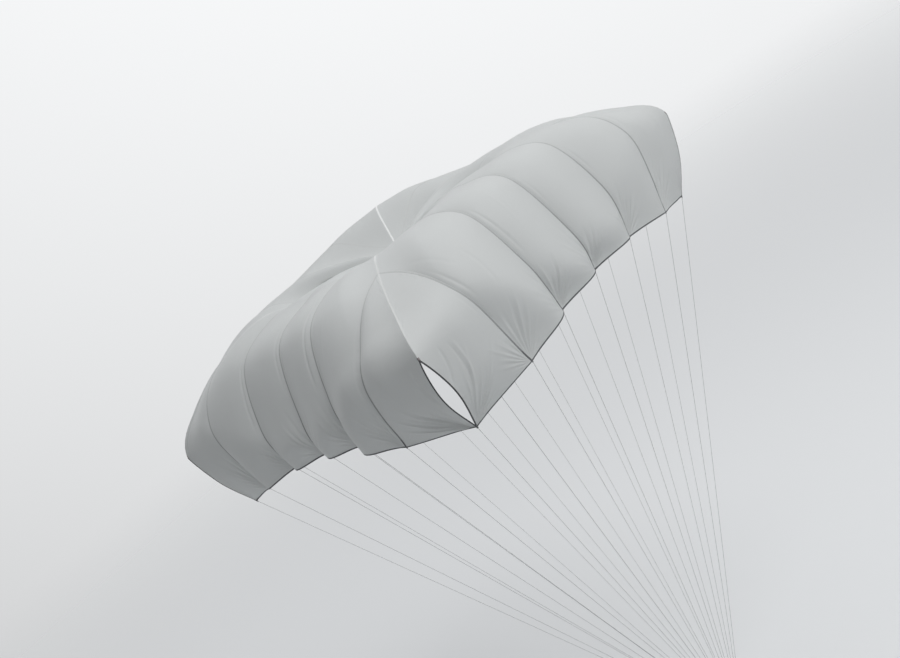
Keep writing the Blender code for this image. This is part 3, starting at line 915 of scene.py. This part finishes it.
# %% Creases of one gore
FANS = {                     # side, gore: rays, strength and reach of its left and its right fan
    (0, 0): ((SLOT_FAN, 2.2, 1.0), (FAN_RAYS, 1.4, 0.8)),
    (3, 5): ((FAN_RAYS, 0.5, 0.7), (HEM_FAN, 5.5, 1.1)),
}
FAN_BALANCE = ((1.9, 0.5), (1.0, 0.5), (1.0, 0.5), (0.6, 1.1))   # each side's left and right fans
LONG_CREASES = {             # side, gore: edge it is measured from, start, end, depth, width
    (0, 0): (("left", (0.03, 0.10), (0.27, 0.74), 0.0050, 0.013),
             ("left", (0.06, 0.12), (0.31, 0.72), -0.0040, 0.012),
             ("left", (0.00, 0.44), (0.19, 0.76), 0.0055, 0.012)),
    (3, 5): (("right", (0.02, 0.34), (0.13, 0.76), 0.0040, 0.014),
             ("right", (0.05, 0.34), (0.17, 0.74), -0.0030, 0.014)),
}
SECOND_FOLDS = {             # side, gore: left or right seam, offset, from, to, depth
    (3, 3): (("right", 0.085, 0.55, 1.5, 0.012), ("left", 0.050, 0.5, 1.3, 0.004)),
    (3, 2): (("right", 0.045, 0.6, 1.4, 0.005),),
    (3, 4): (("left", 0.048, 0.5, 1.4, 0.005), ("right", 0.040, 0.4, 1.2, 0.004)),
    (3, 1): (("right", 0.050, 0.4, 1.4, 0.007),),
    (3, 5): (("left", 0.045, 0.5, 1.1, 0.003),),
    (0, 0): (("right", 0.045, 0.5, 0.9, 0.002),),
    (0, 1): (("left", 0.050, 0.6, 1.2, 0.003),),
    (0, 2): (("left", 0.055, 0.5, 1.2, 0.004),),
    (0, 3): (("left", 0.045, 0.6, 1.1, 0.002),),
    (0, 4): (("left", 0.040, 0.5, 1.1, 0.003),),
    (2, 3): (("left", 0.028, 0.9, 1.9, 0.009),),
    (2, 4): (("left", 0.028, 0.7, 1.5, 0.009),),
}


def gore_relief(side, gore, points, x, y):
    """How far creases lift or sink a gore's cloth, at metres across from its left seam and up."""
    rng = np.random.default_rng(100 * side + gore + 7)
    mirrored = x[:, -1:] - x
    fans = FANS.get((side, gore))
    if fans is None:
        powers = rng.uniform((1.4, 0.7, 2.0, 0.7), (2.0, 1.05, 2.8, 1.05))
        powers *= np.array([FAN_BALANCE[side][0], 1, FAN_BALANCE[side][1], 1])
        fans = (FAN_RAYS, *powers[:2]), (FAN_RAYS, *powers[2:])
    relief = np.zeros_like(x)
    for at_right, (rays, strength, reach) in enumerate(fans):
        relief += fan(pull_place(points, y, at_right), rays, strength, reach, rng)
    at_left = puckers(x, y, rng.uniform(0.5, 1.2), rng)
    relief += at_left + puckers(mirrored, y, rng.uniform(0.5, 1.2), rng)
    folds = SECOND_FOLDS.get((side, gore))
    if folds is None:
        which = ("left", "right")[int(rng.integers(2))]
        folds = ((which, rng.uniform(0.035, 0.055), rng.uniform(0.4, 0.9), rng.uniform(1.3, 2.0),
                  rng.uniform(0.002, 0.005)),)
    for which, offset, low, high, depth in folds:
        relief += second_fold(x if which == "left" else mirrored, y, offset, low, high, depth)
    for edge, start, end, depth, width in LONG_CREASES.get((side, gore), ()):
        relief += crease(x if edge == "left" else mirrored, y, start, end, depth, width)
    for _ in range(3):
        start = rng.uniform((0.12, 0.5), (0.5, 1.5))
        end = start + rng.uniform((-0.2, 0.25), (0.2, 0.7))
        relief += crease(x, y, start, end, rng.uniform(-0.0012, 0.0018), rng.uniform(0.014, 0.03))
    sewn = smooth_step(np.minimum(x, mirrored) / 0.016 - 0.45)
    return relief * sewn


# %% Make the gores
def make_gore(side, gore):
    shares = np.linspace(0, 1, gore_grid(side, gore)[0])
    parts = (1 - EDGE_CROWDING) * shares + EDGE_CROWDING * (1 - np.cos(np.pi * shares)) / 2
    parts = SEWN_IN + (1 - 2 * SEWN_IN) * parts
    ups = gore_rows(side, gore)
    points, outward = canopy(side, *gore_places(gore, ups, parts))
    x, y = distances(points, 1), distances(points, 0)
    points = points + outward * gore_relief(side, gore, points, x, y)[..., None]
    number = side * GORES + gore + 1
    piece = sheet_piece(f"cloth_gore_{number:02d}", points, np.stack([x, y], axis=-1), 3 * CLOTH,
                        [cloth_finish, hem_finish], thin=1 / 3, thick_rows=2)
    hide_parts(f"gore_{number:02d}")
    width, length = round(float(x[:, -1].max()), 3), round(float(y[-1].max()), 3)
    return piece, width, length, round(grid_area(points), 3)


gores = {(side, gore): make_gore(side, gore) for side in range(4) for gore in range(GORES)}
print("24 gores,", round(sum(made[3] for made in gores.values()), 2), "m2")
print("widths and lengths of one side", [gores[0, gore][1:3] for gore in range(GORES)])

# %% [markdown]
# ## Seams
# The gores of one side are joined by flat-felled seams: both edges are folded into each other and
# sewn down with two rows of stitches. A felled seam is four layers thick, lies flat in the valley
# between two billows, and lets less light through, so it reads as a dark line from outside and
# inside. Over its lowest 1.3 m its colour also darkens to the hem, which is painted shade of that
# valley.
# Each is a narrow strip with a soft edge that swallows the two gores' raw edges.

# %% Ribbon helper
def ribbon(name, middle, left, right, half_width, thickness, finish, lift=0.0,
           columns=5):
    """A sewn strip along a line of points; left and right are directions to its two edges."""
    offsets = np.linspace(-1, 1, columns) * half_width
    arms = np.where(offsets[None, :, None] < 0, -left[:, None], right[:, None])
    face = unit(np.cross(right - left, np.gradient(middle, axis=0)))
    rise = np.broadcast_to(np.asarray(lift, float), (len(middle),))
    points = middle[:, None] + arms * offsets[None, :, None] + (face * rise[:, None])[:, None]
    run = distances(middle[:, None], 0)[:, 0]
    weave = np.stack(np.broadcast_arrays(offsets[None], run[:, None]), axis=-1)
    piece = sheet_piece(name, points, weave, thickness, [finish])
    return piece


def soften(piece, width, segments=2):
    """Round a strip's long edges."""
    bpy.ops.object.select_all(action="DESELECT")
    bpy.context.view_layer.objects.active = piece
    piece.select_set(True)
    bpy.ops.object.modifier_add(type="BEVEL")
    edge = piece.modifiers[-1]
    edge.width, edge.segments, edge.limit_method = width, segments, "ANGLE"
    edge.angle_limit = math.radians(50)
    bpy.ops.object.modifier_apply(modifier=edge.name)
    bpy.ops.object.shade_smooth_by_angle(angle=math.radians(40))
    return piece


# %% Seams
SEAM_HALF_WIDTH, SEAM_THICKNESS = 0.0075, 0.0026
SEAM_STATIONS, SEAM_CROWDING = 90, 1.15    # its points stand closer near the hem
SEAM_GAP = 0.001             # share that it stops short of the diagonal
SEAM_SOFT = 0.0009           # how far its edges are rounded


def seam_line(side, share, reaches):
    """Points of a seam, and the direction along the cloth to its side."""
    middle, outward = canopy(side, share, reaches)
    run = unit(np.gradient(middle, axis=0))
    return middle, unit(np.cross(run, outward))


def make_seam(side, k):
    share = k / HALF
    stations = np.linspace(0, 1, SEAM_STATIONS) ** SEAM_CROWDING
    reaches = 1 - (1 - abs(share) - SEAM_GAP) * stations
    middle, sideways = seam_line(side, share, reaches)
    piece = ribbon(f"seam_{side * (GORES - 1) + k + HALF:02d}", middle, -sideways, sideways,
                   SEAM_HALF_WIDTH, SEAM_THICKNESS, seam_finish)
    return soften(piece, SEAM_SOFT)


seams = {(side, k): make_seam(side, k) for side in range(4) for k in range(-2, 3)}
print(len(seams), "felled seams")

# %% [markdown]
# ## Crown tapes
# Along both diagonals, where two sides fold together, a white tape runs over the crown from one
# corner's slot to the opposite one. The two tapes carry the opening shock across the top. They
# cross at the crown's centre, the second on top of the first. Their two halves lie on two sides
# of a fold, so the strip's left and right edges are each found on their own side of the cloth.

# %% Crown tapes
TAPE_HALF_WIDTH, TAPE_THICKNESS, TAPE_CROSSING = 0.0085, 0.0030, 0.0026
TAPE_STATIONS, TAPE_CROWDING = 80, 1.2     # its points stand closer near the crown
TAPE_START, TAPE_STOP = 0.0015, SLOT_OPEN - 0.003    # reaches where each half begins and ends
TAPE_OVER_CLOTH, TAPE_SOFT = 0.0002, 0.0008
CROSSING_FLAT, CROSSING_SLOPE = 0.012, 0.03    # metres that it lies on the other tape, then falls
tape_white = tape_finish("white tape", (0.94, 0.945, 0.94), (0.86, 0.87, 0.865), (0.62, 0.63, 0.63),
                         (0.0024, 0.0042), rib=0.0015, ends=(5.05, (0.62, 0.63, 0.628)))


def square_to(run, vectors):
    """Directions made square to a line's own."""
    return unit(vectors - run * (vectors * run).sum(-1, keepdims=True))


def diagonal_line(corner, reaches):
    """Points of a diagonal from the crown out, and the directions to its left and right edges."""
    left_side, right_side = corner % 4, (corner + 3) % 4
    middle = canopy(left_side, -reaches, reaches)[0]
    run = unit(np.gradient(middle, axis=0))
    arms = []
    for side, sign in ((left_side, 1), (right_side, -1)):
        beside = canopy(side, -sign * (reaches - 0.006), reaches)[0] - middle
        arms.append(square_to(run, beside))
    return middle, arms[0], arms[1]


def make_crown_tape(n):
    stations = np.linspace(0, 1, TAPE_STATIONS) ** TAPE_CROWDING
    reaches = TAPE_START + (TAPE_STOP - TAPE_START) * stations
    ahead, behind = diagonal_line(n, reaches), diagonal_line(n + 2, reaches)
    middle = np.concatenate([behind[0][::-1], ahead[0]])
    one = np.concatenate([behind[2][::-1], ahead[1]])
    other = np.concatenate([behind[1][::-1], ahead[2]])
    from_crown = np.linalg.norm(middle - crown_centre, axis=-1)
    on_top = 1 - smooth_step((from_crown - CROSSING_FLAT) / CROSSING_SLOPE)
    lift = TAPE_OVER_CLOTH + n * TAPE_CROSSING * on_top
    piece = ribbon(f"white_crown_tape_{n + 1}", middle, other, one, TAPE_HALF_WIDTH, TAPE_THICKNESS,
                   tape_white, lift=lift, columns=7)
    soften(piece, TAPE_SOFT)
    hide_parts(f"crown_tape_{n + 1}")
    return piece, float(distances(middle[:, None], 0).max())


crown_tapes = [make_crown_tape(n) for n in range(2)]
print("crown tapes", [round(length, 2) for _, length in crown_tapes], "m long")

# %% [markdown]
# ## Slots
# Air leaves through an open slot in each corner, which keeps the canopy from swinging. The two
# gores' edges there are bound with a dark folded tape, up one side, round the top and down the
# other, and a bar-tack closes the top under the end of the crown tape. The binding is one strip
# with both edges of the cloth inside it, made the same way as a seam.

# %% Slot bindings
BINDING_HALF_WIDTH, BINDING_THICKNESS = 0.0062, 0.0032
BINDING_STATIONS, BINDING_SOFT = 44, 0.0010
BINDING_SET_IN = 0.1         # share of its half width that it lies in from the slot's edge
SKY_LIT_CORNER = 1              # this corner's binding is a paler copy: painted light where the sky lights it
binding_finish = tape_finish("grey binding", (0.040, 0.042, 0.046), (0.075, 0.078, 0.082),
                             (0.03, 0.03, 0.035), (0.0030,), rib=0.0010)
# a paler copy of the binding's finish: painted light, for the corner that the sky lights
sky_lit_binding_finish = tape_finish("grey binding, painted light", (0.36, 0.37, 0.37), (0.42, 0.43, 0.43),
                                  (0.2, 0.2, 0.2), (0.0030,), rib=0.0010)


def slot_leg(side, sign):
    """One edge of a slot from its foot up, and the direction into its cloth."""
    down = 0.5 * (1 - np.cos(np.pi * np.linspace(0.004, 0.996, BINDING_STATIONS)))
    reach = 1 - (1 - SLOT_OPEN) * down
    edge = canopy(side, sign * slot_edge(reach, sign), reach)[0]
    inner = canopy(side, sign * (slot_edge(reach, sign) - 0.01), reach)[0]
    run = unit(np.gradient(edge, axis=0))
    return edge, square_to(run, inner - edge)


def slot_legs(corner):
    """Both edges of a corner's slot: the one in the side on its right, then the one on its left."""
    return *slot_leg(corner, -1), *slot_leg((corner + 3) % 4, 1)


def make_slot_binding(corner):
    left_edge, left_in, right_edge, right_in = slot_legs(corner)
    middle = np.concatenate([left_edge, right_edge[::-1]])
    inward = np.concatenate([left_in, right_in[::-1]])
    middle = middle + inward * BINDING_HALF_WIDTH * BINDING_SET_IN
    # that corner's binding takes the paler copy, which is painted light
    finish = sky_lit_binding_finish if corner == SKY_LIT_CORNER else binding_finish
    piece = ribbon(f"slot_edge_binding_{corner + 1}", middle, inward, -inward, BINDING_HALF_WIDTH,
                   BINDING_THICKNESS, finish)
    soften(piece, BINDING_SOFT)
    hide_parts(f"slot_binding_{corner + 1}")
    return piece


bindings = [make_slot_binding(corner) for corner in range(4)]
print(len(bindings), "slot bindings")

# %% [markdown]
# ## Line tabs and bar-tacks
# A line isn't tied to bare cloth. A short dark tape is sewn over the foot of each seam, folded
# round the hem, and the line's end is sewn into it. Bar-tacks, dense blocks of zigzag stitches,
# hold the places that are pulled hardest. A tab is a short thick strip. A bar-tack is a ribbed
# block, and one function makes it at each corner, because every corner folds at its own angle.

# %% Line tabs
TAB_LENGTH, TAB_HALF_WIDTH, TAB_THICKNESS, TAB_BELOW = 0.095, 0.0062, 0.0042, 0.010
TAB_STATIONS, TAB_SOFT = 14, 0.0012
tab_finish = tape_finish("line tab", (0.07, 0.075, 0.08), (0.12, 0.125, 0.13),
                         (0.30, 0.31, 0.31), (0.0022, 0.0048), rib=0.0011)
lines_meet = np.array([0, 0, AIM_HEIGHT])


def make_tab(side, k):
    share = k / HALF
    top = hem_up(side, k + HALF - 1, TAB_LENGTH) * (1 - abs(share))
    middle, sideways = seam_line(side, share, 1 - top * np.linspace(0, 1, TAB_STATIONS))
    pull = unit(lines_meet - middle[0])
    below = middle[0] + pull * np.array([[TAB_BELOW], [TAB_BELOW / 2]])
    middle = np.concatenate([below, middle])
    sideways = np.concatenate([sideways[:1], sideways[:1], sideways])
    piece = ribbon(f"line_tab_{side * GORES + k + HALF + 1:02d}", middle, -sideways, sideways,
                   TAB_HALF_WIDTH, TAB_THICKNESS, tab_finish)
    return soften(piece, TAB_SOFT)


tabs = {(side, k): make_tab(side, k) for side in range(4) for k in range(-2, 3)}
print(len(tabs), "line tabs on the seams")

# %% Corner tabs and bar-tacks
CORNER_TAB_LENGTH, CORNER_TAB_HALF_WIDTH, CORNER_TAB_THICKNESS = 0.034, 0.0075, 0.0052
CORNER_TAB_SOFT = 0.0014
TACK_ABOVE, TACK_BELOW, TACK_HALF_WIDTH, TACK_STITCHES = 0.0036, 0.0012, 0.0105, 11
TACK_THICKNESS, TACK_RIDGE, TACK_OVER_TAPE = 0.0042, 0.0008, 0.0004
tack_finish = tape_finish("bar-tack thread", (0.23, 0.20, 0.20), (0.30, 0.27, 0.27),
                          (0.1, 0.1, 0.1), (), rib=0.0009)


def make_corner_tab(corner):
    """The slot's two bound edges end in one folded tab that the corner's line is sewn into."""
    left_edge, _, right_edge, _ = slot_legs(corner)
    foot = canopy(corner, -1.0, 1.0)[0]
    aside = unit(left_edge[5] - right_edge[5])
    pull = unit(lines_meet - foot)
    places = np.linspace(1.3 * TAB_BELOW, -CORNER_TAB_LENGTH, 9)
    middle = foot + pull * places[:, None]
    arms = np.broadcast_to(aside, middle.shape)
    piece = ribbon(f"line_tab_{corner * GORES + 1:02d}", middle, -arms, arms,
                   CORNER_TAB_HALF_WIDTH, CORNER_TAB_THICKNESS, tab_finish)
    return soften(piece, CORNER_TAB_SOFT)


def make_bar_tack(corner):
    """A block of zigzag stitches over the slot's top, which rises and falls once a stitch."""
    steps = np.linspace(0, 1, 2 * TACK_STITCHES + 1)
    reaches = SLOT_OPEN - TACK_ABOVE + (TACK_ABOVE + TACK_BELOW) * steps
    middle, left, right = diagonal_line(corner, reaches)
    ridges = np.where(np.arange(len(reaches)) % 2, TACK_RIDGE, 0.0)
    return ribbon(f"bar_tack_{corner + 1}", middle, right, left, TACK_HALF_WIDTH, TACK_THICKNESS,
                  tack_finish, lift=TACK_OVER_TAPE + ridges, columns=7)


corner_tabs = [make_corner_tab(corner) for corner in range(4)]
bar_tacks = [make_bar_tack(corner) for corner in range(4)]
print(len(corner_tabs), "corner tabs,", len(bar_tacks), "bar-tacks")

# %% [markdown]
# ## What is sewn on each gore
# For each gore a list is made of what is sewn on it: the seam on its right and that seam's tab,
# and for the first gore of a side its corner's slot binding, tab and bar-tack. The crown tapes go
# with the first gores of the two sides that they set out from.

for (side, gore), (piece, width, length, area) in gores.items():
    sewn_on = [seams[side, gore - 2], tabs[side, gore - 2]] if gore < GORES - 1 else []
    if gore == 0:
        sewn_on += [bindings[side], corner_tabs[side], bar_tacks[side]]
        sewn_on += [crown_tapes[side][0]] if side < 2 else []

# %% [markdown]
# ## Bound knot
# All 24 lines and the centre line come together over the riser in one knot, whipped with cord so
# that none can slip. It could be a carved cylinder, but a whipping is a cord wound side by side,
# so it is made that way: a curve with a round bevel follows a tight helix up the knot's surface,
# drawn in a little at both ends. A bevelled core behind it closes the gaps.

# %% Knot
KNOT_BASE, KNOT_RADIUS = 0.1107, 0.0165
WHIPPING, WHIPPING_TURNS = 0.0040, 9
WHIPPING_STEPS = 28          # points a turn
WHIPPING_TAPER = 0.10        # how much its first and last turns are drawn in
WHIPPING_INSET = 0.0005      # how far it starts and stops inside the knot's two ends
CORE_BEVEL, CORE_SEGMENTS = 0.0035, 4
whipping_finish = tape_finish("whipping cord", (0.15, 0.155, 0.165), (0.22, 0.225, 0.235),
                              (0.1, 0.1, 0.1), (), rib=0.0016)


def tube_along(name, path, radius, finish):
    """A closed round tube along points: a curve with a round bevel, made a mesh."""
    path = np.asarray(path, float)
    bpy.ops.object.select_all(action="DESELECT")
    bpy.ops.curve.primitive_nurbs_path_add(location=(0, 0, 0))
    piece = bpy.context.object
    piece.name = piece.data.name = name
    piece.data.splines.clear()
    spline = piece.data.splines.new("POLY")
    spline.points.add(len(path) - 1)
    spline.points.foreach_set("co", np.column_stack([path, np.ones(len(path))]).ravel())
    piece.data.bevel_depth, piece.data.bevel_resolution = radius, 3
    piece.data.use_fill_caps = True
    bpy.ops.object.convert(target="MESH")
    piece = bpy.context.object
    mesh = piece.data
    run = distances(path[:, None], 0)[:, 0]
    uv = weave_map(piece)
    points = np.array([v.co for v in mesh.vertices])
    nearest = np.linalg.norm(points[:, None] - path[None], axis=-1).argmin(axis=1)
    for loop, spot in zip(mesh.loops, uv.data):
        spot.uv = (spot.uv[1] * 2 * math.pi * radius, run[nearest[loop.vertex_index]])
    mesh.materials.clear()
    mesh.materials.append(finish)
    bpy.ops.object.shade_smooth_by_angle(angle=math.radians(60))
    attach(piece, "root")
    return piece


def make_knot():
    height = KNOT_TOP - KNOT_BASE
    rise = height - WHIPPING - 2 * WHIPPING_INSET
    turns = np.linspace(0, 2 * math.pi * WHIPPING_TURNS, WHIPPING_TURNS * WHIPPING_STEPS)
    share = turns / turns[-1]
    wound = (KNOT_RADIUS - WHIPPING / 2) * (1 - WHIPPING_TAPER * np.abs(2 * share - 1) ** 6)
    path = np.column_stack([wound * np.cos(turns), wound * np.sin(turns),
                            KNOT_BASE + WHIPPING_INSET + WHIPPING / 2 + rise * share])
    whipping = tube_along("knot_whipping", path, WHIPPING / 2, whipping_finish)
    bpy.ops.object.select_all(action="DESELECT")
    bpy.ops.mesh.primitive_cylinder_add(vertices=32, radius=KNOT_RADIUS - WHIPPING * 0.55,
                                        depth=height, location=(0, 0, KNOT_BASE + height / 2))
    core = bpy.context.object
    core.name = core.data.name = "bound_knot"
    bpy.ops.object.transform_apply(location=True, rotation=True, scale=True)
    bpy.ops.object.modifier_add(type="BEVEL")
    core.modifiers[-1].width, core.modifiers[-1].segments = CORE_BEVEL, CORE_SEGMENTS
    bpy.ops.object.modifier_apply(modifier=core.modifiers[-1].name)
    for loop, spot in zip(core.data.loops, weave_map(core).data):
        co = core.data.vertices[loop.vertex_index].co
        spot.uv = (math.atan2(co.y, co.x) * KNOT_RADIUS, co.z)
    core.data.materials.append(whipping_finish)
    bpy.ops.object.shade_smooth_by_angle(angle=math.radians(45))
    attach(core, "root")
    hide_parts("line_knot")
    return core, whipping


knot = make_knot()
print("knot", [round(v * 1000, 1) for v in knot[1].dimensions], "mm")

# %% [markdown]
# ## Riser loop
# Under the knot a loop of black webbing ends in an open eye, which a person's harness is clipped
# to. The webbing is 25 mm wide and 3 mm thick. Its two legs are sewn together under the knot with
# a box of stitches, and their ends are bar-tacked. The loop is drawn as a line of points, widened
# to a strip, thickened and given round edges, as real webbing has.

# %% Riser
RISER_HALF_WIDTH, RISER_THICKNESS, RISER_EYE, RISER_HEIGHT = 0.0125, 0.0030, 0.016, 0.110
RISER_GAP = 0.0003           # half the gap between its two legs
EYE_STEPS, LEG_STEPS = 48, 16
webbing_finish = tape_finish("black webbing", (0.020, 0.021, 0.024), (0.055, 0.056, 0.060),
                             (0.30, 0.30, 0.31), (0.0030, 0.0095), rib=0.0018, roughness=0.75)


def riser_path():
    """The middle of the webbing, from the top of one leg round the eye to the top of the other."""
    middle, leg = RISER_EYE + RISER_THICKNESS / 2, RISER_THICKNESS / 2 + RISER_GAP
    tall = RISER_HEIGHT - RISER_EYE
    tangent = math.acos(middle / math.hypot(leg, tall)) + math.atan2(leg, tall)
    angles = tangent + (2 * math.pi - 2 * tangent) * np.linspace(0, 1, EYE_STEPS)
    eye = np.column_stack([middle * np.sin(angles), np.zeros(EYE_STEPS),
                           RISER_EYE + middle * np.cos(angles)])
    shares = np.linspace(0, 1, LEG_STEPS)[:-1, None]
    top = np.array([leg, 0, RISER_HEIGHT])
    down = top + (eye[0] - top) * shares
    up = (down * (-1, 1, 1))[::-1]
    return np.concatenate([down, eye, up])


def make_riser():
    middle = riser_path()
    across = np.broadcast_to(np.array([0.0, 1.0, 0.0]), middle.shape)
    piece = ribbon("webbing_riser", middle, -across, across, RISER_HALF_WIDTH, RISER_THICKNESS,
                   webbing_finish, columns=7)
    soften(piece, 0.0011, 3)
    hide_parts("riser_loop")
    return piece


riser = make_riser()
print("riser", [round(v * 1000, 1) for v in riser.dimensions], "mm")
